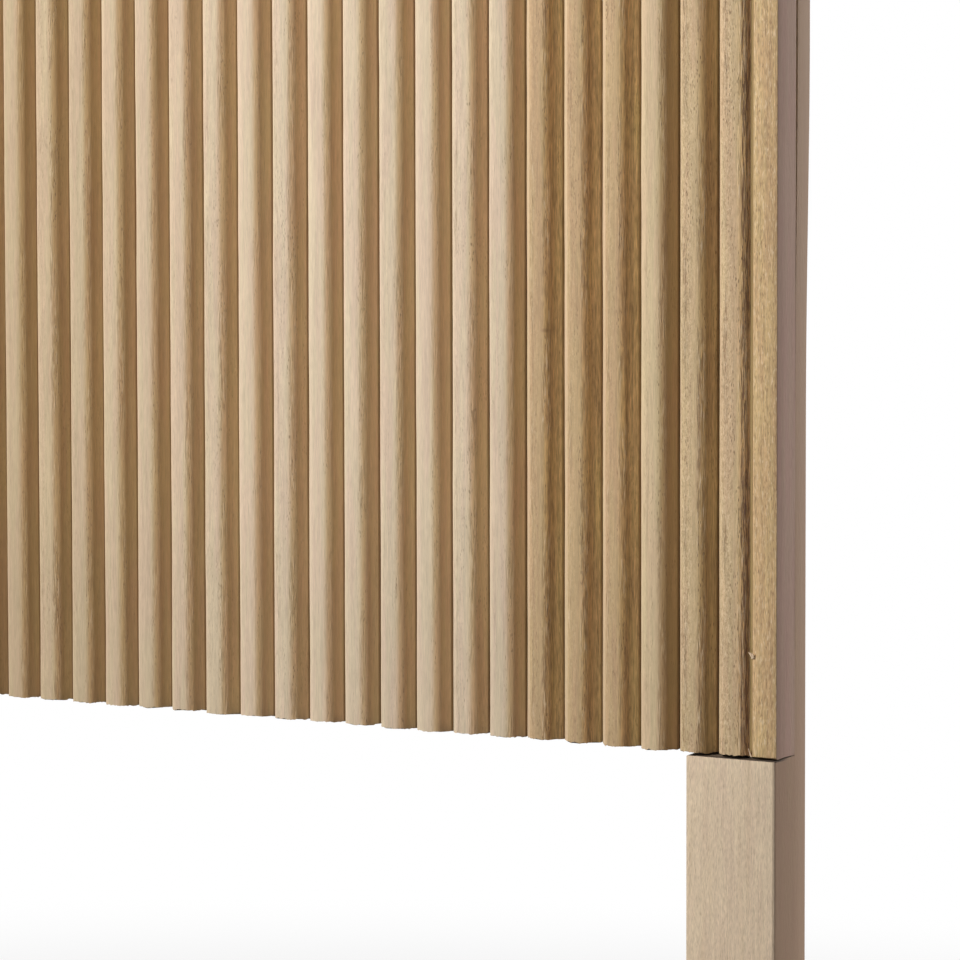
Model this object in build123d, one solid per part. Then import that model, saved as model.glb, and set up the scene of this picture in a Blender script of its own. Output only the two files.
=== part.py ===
from build123d import *
import math
import os

# A single-bed headboard: a panel of upright reeded slats glued to a backing board, closed by two
# end strips and a top cap, and carried by two legs whose rear laps run up behind the panel.
# Millimetres. X runs across the headboard, the front faces -Y, Z is up and the floor is at 0.

# Heights above the floor
HEIGHT = 1200.0
PANEL_BOTTOM = 500.0
SHOULDER_GAP = 2.0
LAP_TOP_DROP = 15.0

# Depths, measured back from the front of the end strips
STRIP_FRONT_Y = -16.25
PANEL_DEPTH = 21.0
VALLEY_DEPTH = 7.5
LAP_DEPTH = 13.5
LEG_PROUD = 2.0

# Slats
SLAT_COUNT = 39
SLAT_PITCH = 25.0
SLAT_GAP = 0.4
SLAT_RISE = 9.5
FLANK_DRAFT = 32.0
TOP_CROWN = 0.5
SHOULDER_RADIUS = 6.0

# Strips round the panel, and the backing board in their rabbets
STRIP_WIDTH = 15.4
STRIP_EASE = 0.8
RABBET = 5.0
BOARD_THICKNESS = 10.0
BOARD_PLAY = 0.2

# Legs
LEG_WIDTH = 56.4
LEG_EASE = 1.8
FOOT_CHAMFER = 2.0
LAP_EASE = 1.0
SLOT_WIDTH = 9.0
SLOT_LENGTH = 40.0
SLOT_HEIGHTS = (220.0, 320.0)

# Back rails
RAIL_HEIGHT = 60.0
RAIL_THICKNESS = 12.0
RAIL_PLAY = 0.5
RAIL_EASE = 1.5
RAIL_CENTRES = {"bottom": 552.0, "middle": 845.0, "top": 1138.0}

# Bolts, washers and threaded inserts that hold the laps to the backing board
BOLT_HEIGHTS = (570.0, 1115.0)
BOLT_D = 6.0
BOLT_LENGTH = 16.0
BOLT_HEAD_FLATS = 10.0
BOLT_HEAD_HEIGHT = 4.0
BOLT_HOLE_D = 6.6
WASHER_D = 16.0
WASHER_BORE_D = 6.4
WASHER_THICKNESS = 1.5
COUNTERBORE_D = 18.0
COUNTERBORE_DEPTH = 6.0
INSERT_D = 10.0
INSERT_BORE_D = 6.1
INSERT_LENGTH = 8.5
INSERT_PLAY = 0.1
INSERT_HOLE_DEPTH = 9.0

# Glides glued under the legs
GLIDE_D = 34.0
GLIDE_HEIGHT = 4.0
GLIDE_CHAMFER = 1.5

# How far a cutter runs past a face
OVERRUN = 1.0

# Places worked out from the sizes above
PANEL_BACK_Y = STRIP_FRONT_Y + PANEL_DEPTH
LAP_BACK_Y = PANEL_BACK_Y + LAP_DEPTH
LEG_FRONT_Y = STRIP_FRONT_Y - LEG_PROUD
VALLEY_Y = STRIP_FRONT_Y + VALLEY_DEPTH
BOARD_FRONT_Y = PANEL_BACK_Y - BOARD_THICKNESS
SLAT_EDGE = BOARD_FRONT_Y - VALLEY_Y
INNER_HALF_WIDTH = SLAT_COUNT * SLAT_PITCH / 2
HALF_WIDTH = INNER_HALF_WIDTH + STRIP_WIDTH
CAP_BOTTOM = HEIGHT - STRIP_WIDTH
LEG_X = HALF_WIDTH - LEG_WIDTH / 2
LAP_INNER_X = HALF_WIDTH - LEG_WIDTH


def upright_cylinder(diameter, height):
    """A cylinder that stands on its lower face at the origin."""
    return Cylinder(diameter / 2, height, align=(Align.CENTER, Align.CENTER, Align.MIN))


def facing_rear(shape, x, y, z):
    """Lays a shape drawn along +Z down at a point, so that its +Z points to the rear (+Y)."""
    return Pos(x, y, z) * Rot(-90, 0, 0) * shape


def rear_hole(diameter, x, z, rear_y, depth):
    """A cutter for a round hole that reaches forward from rear_y by depth."""
    return facing_rear(upright_cylinder(diameter, depth), x, rear_y - depth, z)


def block(x0, x1, y0, y1, z0, z1):
    """A box between two corners."""
    return Pos(x0, y0, z0) * Box(x1 - x0, y1 - y0, z1 - z0, align=(Align.MIN,) * 3)


def edges_at(shape, axis, position):
    """The edges that lie wholly at one place along an axis, nearest to the front first."""
    level = shape.edges().filter_by_position(axis, position, position)
    return level.sort_by(Axis.Y)


# Slats


def slat_section():
    """The slat's end: a flat back and short sides, then sloping flanks that round over into a
    slightly crowned top."""
    half = (SLAT_PITCH - SLAT_GAP) / 2
    corner_rise = SLAT_RISE - TOP_CROWN
    corner = (half - corner_rise * math.tan(math.radians(FLANK_DRAFT)), -corner_rise)
    with BuildSketch(Plane.XY) as section:
        with BuildLine():
            Polyline(corner, (half, 0), (half, SLAT_EDGE), (-half, SLAT_EDGE), (-half, 0),
                     (-corner[0], corner[1]))
            ThreePointArc((-corner[0], corner[1]), (0, -SLAT_RISE), corner)
        make_face()
        shoulders = section.vertices().group_by(Axis.Y)[0]
        fillet(shoulders, SHOULDER_RADIUS)
    return section.sketch


def slats():
    """Every slat by its node name, from the left end of the panel to the right."""
    blank = extrude(slat_section(), CAP_BOTTOM - PANEL_BOTTOM)
    first_x = -INNER_HALF_WIDTH + SLAT_PITCH / 2
    return {
        f"slat_{index + 1:02d}": Pos(first_x + index * SLAT_PITCH, VALLEY_Y, PANEL_BOTTOM) * blank
        for index in range(SLAT_COUNT)
    }


# Strips and backing board


def rabbet_cutter():
    """The space of the backing board and its play, which the strips are rabbeted to."""
    side = INNER_HALF_WIDTH + RABBET
    return block(
        -side, side,
        BOARD_FRONT_Y, PANEL_BACK_Y + OVERRUN,
        PANEL_BOTTOM - OVERRUN, CAP_BOTTOM + RABBET,
    )


def strip_blank(outline):
    """A strip cut from an outline in X and Z, as deep as the panel, with its front edges eased."""
    face = Plane.XZ * make_face(Polyline(*outline, close=True))
    blank = Pos(0, PANEL_BACK_Y, 0) * extrude(face, PANEL_DEPTH)
    front_edges = blank.edges().filter_by_position(Axis.Y, STRIP_FRONT_Y, STRIP_FRONT_Y)
    return fillet(front_edges, STRIP_EASE)


def end_strip():
    """The right end strip, mitred at its top and rabbeted for the backing board."""
    outline = [
        (INNER_HALF_WIDTH, PANEL_BOTTOM),
        (HALF_WIDTH, PANEL_BOTTOM),
        (HALF_WIDTH, HEIGHT),
        (INNER_HALF_WIDTH, CAP_BOTTOM),
    ]
    return strip_blank(outline) - rabbet_cutter()


def top_cap():
    """The cap over the slats, mitred at both ends to meet the end strips."""
    outline = [
        (-INNER_HALF_WIDTH, CAP_BOTTOM),
        (INNER_HALF_WIDTH, CAP_BOTTOM),
        (HALF_WIDTH, HEIGHT),
        (-HALF_WIDTH, HEIGHT),
    ]
    return strip_blank(outline) - rabbet_cutter()


def backing_board():
    """The board behind the slats, with blind holes for the threaded inserts."""
    side = INNER_HALF_WIDTH + RABBET - BOARD_PLAY
    board = block(
        -side, side,
        BOARD_FRONT_Y, PANEL_BACK_Y,
        PANEL_BOTTOM, CAP_BOTTOM + RABBET - BOARD_PLAY,
    )
    for x, z in bolt_places():
        board -= rear_hole(INSERT_D + INSERT_PLAY, x, z, PANEL_BACK_Y, INSERT_HOLE_DEPTH)
    return board


# Legs


def leg_outline():
    """The leg seen from its side: a post with a shoulder, and a lap that runs up from its rear."""
    shoulder = PANEL_BOTTOM - SHOULDER_GAP
    lap_top = HEIGHT - LAP_TOP_DROP
    return [
        (LEG_FRONT_Y, GLIDE_HEIGHT),
        (LAP_BACK_Y, GLIDE_HEIGHT),
        (LAP_BACK_Y, lap_top),
        (PANEL_BACK_Y, lap_top),
        (PANEL_BACK_Y, shoulder),
        (LEG_FRONT_Y, shoulder),
    ]


def bed_slot(z):
    """A cutter for one upright slot, right through the leg from front to back."""
    slot = SlotOverall(SLOT_LENGTH, SLOT_WIDTH, rotation=90)
    through = LAP_BACK_Y - LEG_FRONT_Y + 2 * OVERRUN
    return Pos(LEG_X, LAP_BACK_Y + OVERRUN, z) * extrude(Plane.XZ * slot, through)


def leg():
    """The right leg, with its edges eased, two bed slots and two counterbored bolt holes."""
    side_face = Plane.YZ * make_face(Polyline(*leg_outline(), close=True))
    body = Pos(LAP_INNER_X, 0, 0) * extrude(side_face, LEG_WIDTH)
    shoulder = PANEL_BOTTOM - SHOULDER_GAP
    lap_top = HEIGHT - LAP_TOP_DROP
    body = chamfer(edges_at(body, Axis.Z, GLIDE_HEIGHT), FOOT_CHAMFER)
    upright_edges = edges_at(body, Axis.Y, LEG_FRONT_Y).filter_by(Axis.Z)
    body = fillet(upright_edges + edges_at(body, Axis.Z, shoulder)[:-1], LEG_EASE)
    upright_edges = edges_at(body, Axis.Y, LAP_BACK_Y).filter_by(Axis.Z)
    body = fillet(upright_edges + edges_at(body, Axis.Z, lap_top), LAP_EASE)
    for z in SLOT_HEIGHTS:
        body -= bed_slot(z)
    for x, z in bolt_places():
        if x > 0:
            body -= rear_hole(COUNTERBORE_D, x, z, LAP_BACK_Y, COUNTERBORE_DEPTH)
            body -= rear_hole(BOLT_HOLE_D, x, z, LAP_BACK_Y, LAP_DEPTH + OVERRUN)
    return body


def foot_glide():
    """The right leg's glide: a round pad with a chamfered rim."""
    pad = upright_cylinder(GLIDE_D, GLIDE_HEIGHT)
    return Pos(LEG_X, 0, 0) * chamfer(pad.edges().group_by(Axis.Z)[0], GLIDE_CHAMFER)


# Back rails


def back_rail(z):
    """A flat rail between the laps, with the long edges of its rear face chamfered."""
    side = LAP_INNER_X - RAIL_PLAY
    rail_back = PANEL_BACK_Y + RAIL_THICKNESS
    rail = block(
        -side, side,
        PANEL_BACK_Y, rail_back,
        z - RAIL_HEIGHT / 2, z + RAIL_HEIGHT / 2,
    )
    long_edges = rail.edges().filter_by(Axis.X).filter_by_position(Axis.Y, rail_back, rail_back)
    return chamfer(long_edges, RAIL_EASE)


# Fasteners


def bolt_places():
    """The X and Z of every bolt, left leg and right leg."""
    return [(side * LEG_X, z) for side in (-1, 1) for z in BOLT_HEIGHTS]


def bolt():
    """A hexagon-head bolt, drawn with its head up and its seat at 0."""
    shank = Pos(0, 0, -BOLT_LENGTH) * upright_cylinder(BOLT_D, BOLT_LENGTH)
    head = extrude(RegularPolygon(BOLT_HEAD_FLATS / math.sqrt(3), 6), BOLT_HEAD_HEIGHT)
    return shank + head


def sleeve(outer_d, bore_d, length):
    """A plain ring or sleeve, its lower face at 0: a washer, or an insert for the bolt."""
    return upright_cylinder(outer_d, length) - upright_cylinder(bore_d, length)


def fasteners():
    """The three groups of identical fasteners, each a node of separate solids."""
    washer_y = LAP_BACK_Y - COUNTERBORE_DEPTH
    seat_y = washer_y + WASHER_THICKNESS
    insert_y = PANEL_BACK_Y - INSERT_LENGTH
    one_bolt = bolt()
    washer = sleeve(WASHER_D, WASHER_BORE_D, WASHER_THICKNESS)
    insert = sleeve(INSERT_D, INSERT_BORE_D, INSERT_LENGTH)
    bolts = [facing_rear(one_bolt, x, seat_y, z) for x, z in bolt_places()]
    washers = [facing_rear(washer, x, washer_y, z) for x, z in bolt_places()]
    inserts = [facing_rear(insert, x, insert_y, z) for x, z in bolt_places()]
    return {
        "leg_bolts": Compound(children=bolts),
        "leg_washers": Compound(children=washers),
        "threaded_inserts": Compound(children=inserts),
    }


def headboard():
    """Every node of the headboard by name."""
    right_strip = end_strip()
    right_leg = leg()
    right_glide = foot_glide()
    nodes = slats()
    nodes["end_strip_right"] = right_strip
    nodes["end_strip_left"] = mirror(right_strip, Plane.YZ)
    nodes["top_cap"] = top_cap()
    nodes["backing_board"] = backing_board()
    nodes["leg_right"] = right_leg
    nodes["leg_left"] = mirror(right_leg, Plane.YZ)
    nodes["foot_glide_right"] = right_glide
    nodes["foot_glide_left"] = mirror(right_glide, Plane.YZ)
    for name, z in RAIL_CENTRES.items():
        nodes[f"back_rail_{name}"] = back_rail(z)
    nodes.update(fasteners())
    return nodes


os.makedirs("parts", exist_ok=True)
for node_name, solid in headboard().items():
    export_step(solid, f"parts/{node_name}.step")
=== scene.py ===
import math
import random

import bmesh
import bpy
from mathutils import Matrix, Vector


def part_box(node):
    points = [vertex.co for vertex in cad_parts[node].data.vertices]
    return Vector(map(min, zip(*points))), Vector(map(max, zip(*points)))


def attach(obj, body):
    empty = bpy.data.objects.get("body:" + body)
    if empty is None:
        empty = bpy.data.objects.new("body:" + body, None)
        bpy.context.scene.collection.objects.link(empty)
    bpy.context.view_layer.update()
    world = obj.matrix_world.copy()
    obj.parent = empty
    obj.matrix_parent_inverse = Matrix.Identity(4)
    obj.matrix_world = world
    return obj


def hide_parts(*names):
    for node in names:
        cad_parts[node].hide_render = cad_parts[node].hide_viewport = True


# A single-bed headboard of upright reeded slats between plain strips, on two shouldered legs.
# Metres, in the model's own frame: X to the right, the front faces -Y, Z up, the floor at 0.

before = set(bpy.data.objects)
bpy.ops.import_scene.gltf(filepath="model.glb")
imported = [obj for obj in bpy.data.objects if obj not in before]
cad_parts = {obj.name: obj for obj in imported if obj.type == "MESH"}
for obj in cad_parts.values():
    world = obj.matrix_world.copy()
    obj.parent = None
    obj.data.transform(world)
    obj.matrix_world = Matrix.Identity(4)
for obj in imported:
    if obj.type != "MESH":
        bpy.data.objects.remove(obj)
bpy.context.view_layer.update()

MM = 0.001
RIGHT = Vector((1.0, 0.0, 0.0))
REAR = Vector((0.0, 1.0, 0.0))
UP = Vector((0.0, 0.0, 1.0))

# The camera, as worked out from the photograph's vanishing lines
CAMERA_PLACE = (1.6165, -2.0938, 0.8301)
CAMERA_YAW = math.radians(32.149)
CAMERA_PITCH = math.radians(3.225)
CAMERA_ROLL = math.radians(-0.103)
CAMERA_LENS = 161.4
SENSOR = 36.0
FRAME_SHIFT = -0.0833
NEAREST_SEEN = 0.05
FARTHEST_SEEN = 100.0

# Light: one soft raking key from the left, weak lamps at the right side and the rear, a dim room
KEY_POWER = 108.5
KEY_TINT = (1.0, 0.985, 0.965)
KEY_SIZE = 1.1
KEY_DISTANCE = 2.8
KEY_AZIMUTH = math.radians(-38.6)
KEY_HEIGHT = math.radians(32.0)
KEY_TARGET = Vector((0.30, -0.015, 0.95))
SIDE_STRENGTH = 0.85
SIDE_TINT = (0.95, 0.92, 1.0)
SIDE_AZIMUTH = math.radians(97.0)
REAR_STRENGTH = 1.9
REAR_TINT = (1.0, 0.99, 0.97)
REAR_AZIMUTH = math.radians(165.0)
SUN_HEIGHT = math.radians(22.0)
SUN_SOFTNESS = math.radians(35.0)
ROOM_LIGHT = 0.175
ROOM_TINT = (0.97, 0.98, 1.0)
WHITE = (1.0, 1.0, 1.0)

# The floor: its grey as it lights the wood and as the camera sees it, and how far from the
# middle it starts to turn white and is white
FLOOR_RADIUS = 30.0
FLOOR_SIDES = 96
FLOOR_GREY = (0.12, 0.12, 0.12)
FLOOR_SEEN_GREY = (0.8, 0.8, 0.8)
FLOOR_ROUGHNESS = 0.9
FLOOR_FADE = (0.9, 2.2)

# Slat section: a slab, flanks that lean in, round shoulders and a nearly flat top. The solid's
# crown is TOP_CROWN high, and the sanded top in this scene keeps FLAT_CROWN of it
SLAT_COUNT = 39
SLAT_RISE = 9.5 * MM
TOP_CROWN = 0.5 * MM
FLAT_CROWN = 0.15 * MM
FLANK_DRAFT = math.radians(32.0)
SHOULDER_RADIUS = 6.0 * MM

# Strips, legs and their edges
RABBET = 5.0 * MM
STRIP_EASE = 0.8 * MM
LEG_EASE = 1.8 * MM
LAP_EASE = 1.0 * MM
SHOULDER_GAP = 2.0 * MM
SHOULDER_RISE = 1.0 * MM
SHOULDER_EASE = 0.5 * MM
FOOT_CHAMFER = 2.0 * MM
SLOT_WIDTH = 9.0 * MM
SLOT_LENGTH = 40.0 * MM
SLOT_HEIGHTS = (0.220, 0.320)
BOLT_HEIGHTS = (0.570, 1.115)
COUNTERBORE_D = 18.0 * MM
COUNTERBORE_DEPTH = 6.0 * MM
BOLT_HOLE_D = 6.6 * MM

# A leg's shoulder lies this high, just under the slats
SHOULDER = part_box("slat_01")[0].z - SHOULDER_GAP

# The laps have warped away from the panel between their two bolts, the left one less
BOW_LOW = 0.69
BOW_HIGH = 1.115
BOW_FRONT = 2.3 * MM
BOW_REAR = 3.6 * MM
RIGHT_BOW = 1.0
LEFT_BOW = 0.3

# How finely the pieces are divided
SHOULDER_STEPS = 10
CROWN_STEPS = 8
COLUMN_CUTS = 6
SLAT_RINGS = 140
STRIP_RINGS = 60
LAP_RINGS = 48
LEG_EASE_STEPS = 4
STRIP_EASE_STEPS = 3
SMALL_EASE_STEPS = 2
CHAMFER_STEPS = 1
CUTTER_SIDES = 48

# How faces, edges and points are told apart
TOLERANCE = 0.05 * MM
SAME_WAY = 0.9
UPRIGHT = 0.99
SHARP_ANGLE = 0.5
SMOOTH_ANGLE = math.radians(38.0)
COLUMN_EDGE = 5.0 * MM
LONG_EDGE = 0.2

# How far a cutter runs past a face
OVERCUT = 1.0 * MM

# Unevenness of the wood: its amounts, and the sizes of its patterns. A ring of edges lies END_ZONE
# over each sawn end, and END_REACH takes in that ring and the rim below it
END_RAGGEDNESS = 1.9 * MM
END_UNEVENNESS = 0.7 * MM
STRIP_OVERHANG = 0.6 * MM
END_ZONE = 0.9 * MM
END_REACH = 2.0 * END_ZONE
SLAT_SAW_MARKS = 1.6 * MM
STRIP_SAW_MARKS = 3.0 * MM
WAVER_SIZE = 9.0 * MM
SLAT_WAVER = 0.55 * MM
RIPPLE_SIZE = 4.0 * MM
SLAT_RIPPLE = 0.16 * MM
GRAIN_STRETCH = 8.0
STRIP_WAVER_SIZE = 90.0 * MM
STRIP_WAVER = 0.3 * MM
BROWN_NARROWING = 0.16
SLAT_TILT = math.radians(1.2)

# The torn slat keeps a ledge of its blank beside the end strip, so far behind its crown
LEDGE_DEPTH = 4.8 * MM

# Loose slivers on that ledge and on the inner edge of the strip beside it, in millimetres: the place
# of the foot, and the tip's place from it. SPLINTER_POINT is the share of the width left at the tip
SPLINTER_WIDTH = 1.15 * MM
SPLINTER_POINT = 0.25
LEDGE_SPLINTERS = (((-1.5, 0.0, -0.8), (-1.2, -1.6, 4.8)),)
STRIP_SPLINTERS = (
    ((0.3, 0.1, 54.2), (-1.2, -1.0, 3.4)), ((0.9, 0.0, 54.4), (0.1, -1.2, 3.0)),
    ((0.0, 0.2, 55.2), (-1.9, -0.8, 2.4)), ((0.6, 0.0, 54.8), (-0.6, -1.4, 2.8)),
)

# Wood colours
HONEY = (0.50, 0.38, 0.245)
PALE = (0.655, 0.528, 0.39)
BROWN = (0.515, 0.36, 0.205)
CREAM = (0.63, 0.487, 0.31)
TAN = (0.565, 0.415, 0.25)
STRIP_INNER = (0.59, 0.413, 0.217)
STRIP_OUTER = (0.54, 0.37, 0.195)
STRIP_SIDE = (0.405, 0.27, 0.207)
LEG_FACE = (0.685, 0.545, 0.395)
LEG_SIDE = (0.37, 0.246, 0.16)
PLYWOOD = (0.66, 0.51, 0.34)
PLYWOOD_FIGURE = (0.52, 0.37, 0.22)
PLYWOOD_EDGE = (0.33, 0.21, 0.12)
RAIL = (0.63, 0.47, 0.29)
RAIL_YEARS = (0.49, 0.30, 0.15)
RAIL_PORE = (0.25, 0.14, 0.07)

# Colours of wear and marks, and of painted highlight, painted shade and painted reflected light
# Painted highlight along the slats' left edges, which face the key lamp
EDGE_HIGHLIGHT_CREAM = (0.84, 0.68, 0.48)
# Painted shade and painted bounce warmth on the slats' flanks, which turn from the key lamp, and painted
# reflected light in their valleys
FLANK_SHADE_BROWN = (0.475, 0.295, 0.105)
FLANK_BOUNCE_WARMTH = (1.07, 0.98, 0.87)
VALLEY_BOUNCE_OLIVE = (0.72, 0.60, 0.33)
PALE_FIBRE = (0.82, 0.65, 0.43)
RAW_FIBRE = (0.80, 0.62, 0.43)
DARK_FIBRE = (0.24, 0.14, 0.07)
PORE = (0.17, 0.095, 0.05)
SPLIT = (0.15, 0.075, 0.055)
# Painted shade: a dark olive on the torn slat's ledge, and a darker brown in the valley creases and at
# the ledge's foot
SHADED_LEDGE_OLIVE = (0.34, 0.24, 0.092)
CREASE_SHADE = (0.16, 0.09, 0.04)
# Painted shadow in the gap over a leg's shoulder
SHADED_SHOULDER = (0.03, 0.018, 0.012)
BAND_BROWN = (0.42, 0.27, 0.13)
SIDE_BAND_BROWN = (0.30, 0.19, 0.13)
KNOT = (0.20, 0.10, 0.05)
ROSY_TINT = (1.03, 0.99, 0.99)
GREEN_TINT = (0.985, 1.0, 0.955)

# Metal and plastic colours
ZINC = (0.40, 0.405, 0.41)
INSERT_ALLOY = (0.52, 0.47, 0.36)
GLIDE_BLACK = (0.045, 0.045, 0.048)

# How strongly the matt surfaces reflect
SPECULAR_LEVEL = 0.28

# How coarse a slat's grain is, how strong the painted highlight on its left edge, how streaky its flank,
# how much painted light its flank takes, and how much painted reflected light glows in the valley beside
# it
BROWN_SURFACE = dict(coarseness=0.75, edge_highlight=0.42, flank_contrast=3.0, flank_light=1.0, valley_glow=0.44)
CREAM_SURFACE = dict(coarseness=0.5, edge_highlight=0.24, flank_contrast=0.8, flank_light=0.85, valley_glow=0.1)
TAN_SURFACE = dict(coarseness=1.25, edge_highlight=0.1, flank_contrast=2.4, flank_light=0.88, valley_glow=0.32)
TORN_SURFACE = dict(coarseness=1.25, edge_highlight=0.1, flank_contrast=2.0, flank_light=1.35, valley_glow=0.3)

# The slats at the right, each with its colour and surface
BROWN_SLATS = (34, 35, 36)
CREAM_SLAT = 37
TAN_SLAT = 38
TORN_SLAT = 39
RIGHT_SLATS = {
    **dict.fromkeys(BROWN_SLATS, (BROWN, BROWN_SURFACE)),
    CREAM_SLAT: (CREAM, CREAM_SURFACE),
    TAN_SLAT: (TAN, TAN_SURFACE),
    TORN_SLAT: (TAN, TORN_SURFACE),
}

# The other slats turn from honey to pale between two of them, each with some chance
HONEY_SLAT = 19
PALE_SLAT = 27
CHANCE_PALENESS = 0.4
LIGHTNESS_RANGE = (0.97, 1.03)
COARSEST = 0.7
# Their painted highlight on the left edge, and the painted reflected light in the valley
USUAL_EDGE_HIGHLIGHT = 0.22
USUAL_GLOW = 0.12
FLANK_CONTRAST = 0.8
COARSE_FLANK_CONTRAST = 0.4
# Painted light on their flanks: a factor on the flank colour, more for pale slats, with some chance
HONEY_FLANK_LIGHT = 0.9
PALE_FLANK_GAIN = 0.17
FLANK_LIGHT_CHANCE = 0.04

random.seed(39)


# Shader maths


class Signal:
    """A number or colour that varies over a surface. Arithmetic on it adds Math nodes."""

    def __init__(self, finish, socket):
        self.finish = finish
        self.socket = socket

    def maths(self, operation, *values):
        return self.finish.add("ShaderNodeMath", {"operation": operation}, *values)

    def __add__(self, other):
        return self.maths("ADD", self, other)

    __radd__ = __add__

    def __sub__(self, other):
        return self.maths("SUBTRACT", self, other)

    def __rsub__(self, other):
        return self.maths("SUBTRACT", other, self)

    def __mul__(self, other):
        return self.maths("MULTIPLY", self, other)

    __rmul__ = __mul__

    def __abs__(self):
        return self.maths("ABSOLUTE", self)

    def ramp(self, start, full):
        """0 up to start and 1 from full on, with an eased climb between; start may be above full."""
        settings = {"interpolation_type": "SMOOTHSTEP"}
        return self.finish.add("ShaderNodeMapRange", settings, self, start, full, 0.0, 1.0)

    def within(self, start, full, last, end):
        """0 up to start, 1 between full and last, and 0 again from end on."""
        return self.ramp(start, full) * self.ramp(end, last)


class Finish:
    """A material that is built up node by node around one Principled shader."""

    def __init__(self, name):
        self.material = bpy.data.materials.new(name)
        self.material.use_nodes = True
        self.nodes = self.material.node_tree.nodes
        self.links = self.material.node_tree.links
        self.shader = self.nodes["Principled BSDF"]
        self.shader.inputs["Specular IOR Level"].default_value = SPECULAR_LEVEL

    def add(self, kind, settings, *values, out=0):
        """Adds a node, sets it up, fills its inputs in order, and gives one output."""
        node = self.nodes.new(kind)
        for key, value in settings.items():
            setattr(node, key, value)
        for socket, value in zip(node.inputs, values):
            self.feed(socket, value)
        return Signal(self, node.outputs[out])

    def feed(self, socket, value):
        """Links a signal to a socket, or sets the socket to a plain value."""
        if isinstance(value, Signal):
            self.links.new(value.socket, socket)
        elif value is not None:
            socket.default_value = value

    def mix(self, amount, first, second, blend="MIX"):
        """Colour mixing, from first at amount 0 to second at 1."""
        node = self.nodes.new("ShaderNodeMix")
        node.data_type = "RGBA"
        node.blend_type = blend
        self.feed(node.inputs["Factor"], amount)
        self.feed(node.inputs[6], first)
        self.feed(node.inputs[7], second)
        return Signal(self, node.outputs[2])

    def stain(self, body, colour, amount):
        """Lays a colour over the body, as far as the amount says."""
        return self.mix(amount, body, opaque(colour))

    def coordinates(self, output):
        return self.add("ShaderNodeTexCoord", {}, out=output)

    def position(self, axis):
        """Where the surface lies along one axis of the model."""
        return self.add("ShaderNodeSeparateXYZ", {}, self.coordinates("Object"), out=axis)

    def facing(self, axis):
        """How far the surface faces along one axis of the model, from -1 to 1."""
        return self.add("ShaderNodeSeparateXYZ", {}, self.coordinates("Normal"), out=axis)

    def place(self, size, offset=(0.0, 0.0, 0.0)):
        """Object coordinates in units of a size along each axis, moved by an offset in them."""
        scale = tuple(1.0 / part for part in size)
        values = (self.coordinates("Object"), offset, (0.0, 0.0, 0.0), scale)
        return self.add("ShaderNodeMapping", {}, *values)

    def along_grain(self, marks, axis="Z", stretch=1.0):
        """Coordinates for marks that are long along the grain, and may be stretched more."""
        width, length, offset = marks
        size = {axis_name: width * MM for axis_name in "XYZ"}
        size[axis] = length * stretch * MM
        return self.place(tuple(size.values()), (offset,) * 3)

    def spot(self, centre, size):
        """Distance from a point, in units of a size along each axis."""
        offset = tuple(-middle / part for middle, part in zip(centre, size))
        return self.add("ShaderNodeVectorMath", {"operation": "LENGTH"}, self.place(size, offset), out=1)

    def attribute(self, name, out="Fac"):
        return self.add("ShaderNodeAttribute", {"attribute_name": name}, out=out)

    def noise(self, place, detail=2.0, roughness=0.5, distortion=0.0):
        node = self.nodes.new("ShaderNodeTexNoise")
        self.feed(node.inputs["Vector"], place)
        node.inputs["Scale"].default_value = 1.0
        node.inputs["Detail"].default_value = detail
        node.inputs["Roughness"].default_value = roughness
        node.inputs["Distortion"].default_value = distortion
        return Signal(self, node.outputs[0])

    def cells(self, place):
        """Distance to the middle of the nearest of many scattered cells."""
        node = self.nodes.new("ShaderNodeTexVoronoi")
        self.feed(node.inputs["Vector"], place)
        node.inputs["Scale"].default_value = 1.0
        return Signal(self, node.outputs[0])

    def connect(self, colour, roughness, height, depth):
        """Connects colour, roughness and a bump of the given depth."""
        self.feed(self.shader.inputs["Base Color"], colour)
        self.feed(self.shader.inputs["Roughness"], roughness)
        bump = self.nodes.new("ShaderNodeBump")
        bump.inputs["Distance"].default_value = depth
        self.feed(bump.inputs["Height"], height)
        self.links.new(bump.outputs["Normal"], self.shader.inputs["Normal"])
        return self.material


def opaque(parts, strength=1.0):
    """A colour socket's value."""
    return tuple(part * strength for part in parts) + (1.0,)


# Grain, pores and sawn ends, which the woods share. Marks along the grain have a width and a length
# in millimetres, and an offset that keeps one pattern apart from another
BANDS = (5.0, 75.0, 0.0)
STREAKS = (1.5, 60.0, 3.0)
LINES = (0.65, 7.0, 7.0)
BROAD_BANDS = (6.0, 200.0, 2.0)
PORE_DASHES = (0.75, 4.5, 1.0)
PORE_GROUPS = (4.0, 45.0, 5.0)
FRECKLE_SIZE = 0.8 * MM

# Where in a pattern's values its marks start, and where they are full
BAND_CHANGE = (0.36, 0.64)
BROAD_BAND_RAMP = (0.48, 0.7)
DASH_RAMP = (0.30, 0.12)
GROUP_RAMP = (0.45, 0.62)
SAWN_FACING = (0.8, 0.95)

# The parts that bands, streaks and lines have in how light the wood is, round their middle value
BAND_SHARE = 0.16
STREAK_SHARE = 0.36
LINE_SHARE = 0.48
MIDDLE_VALUE = 0.5
STREAK_RELIEF = 0.6
FRECKLE_STRENGTH = 0.5
PORE_RELIEF = 0.8


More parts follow.
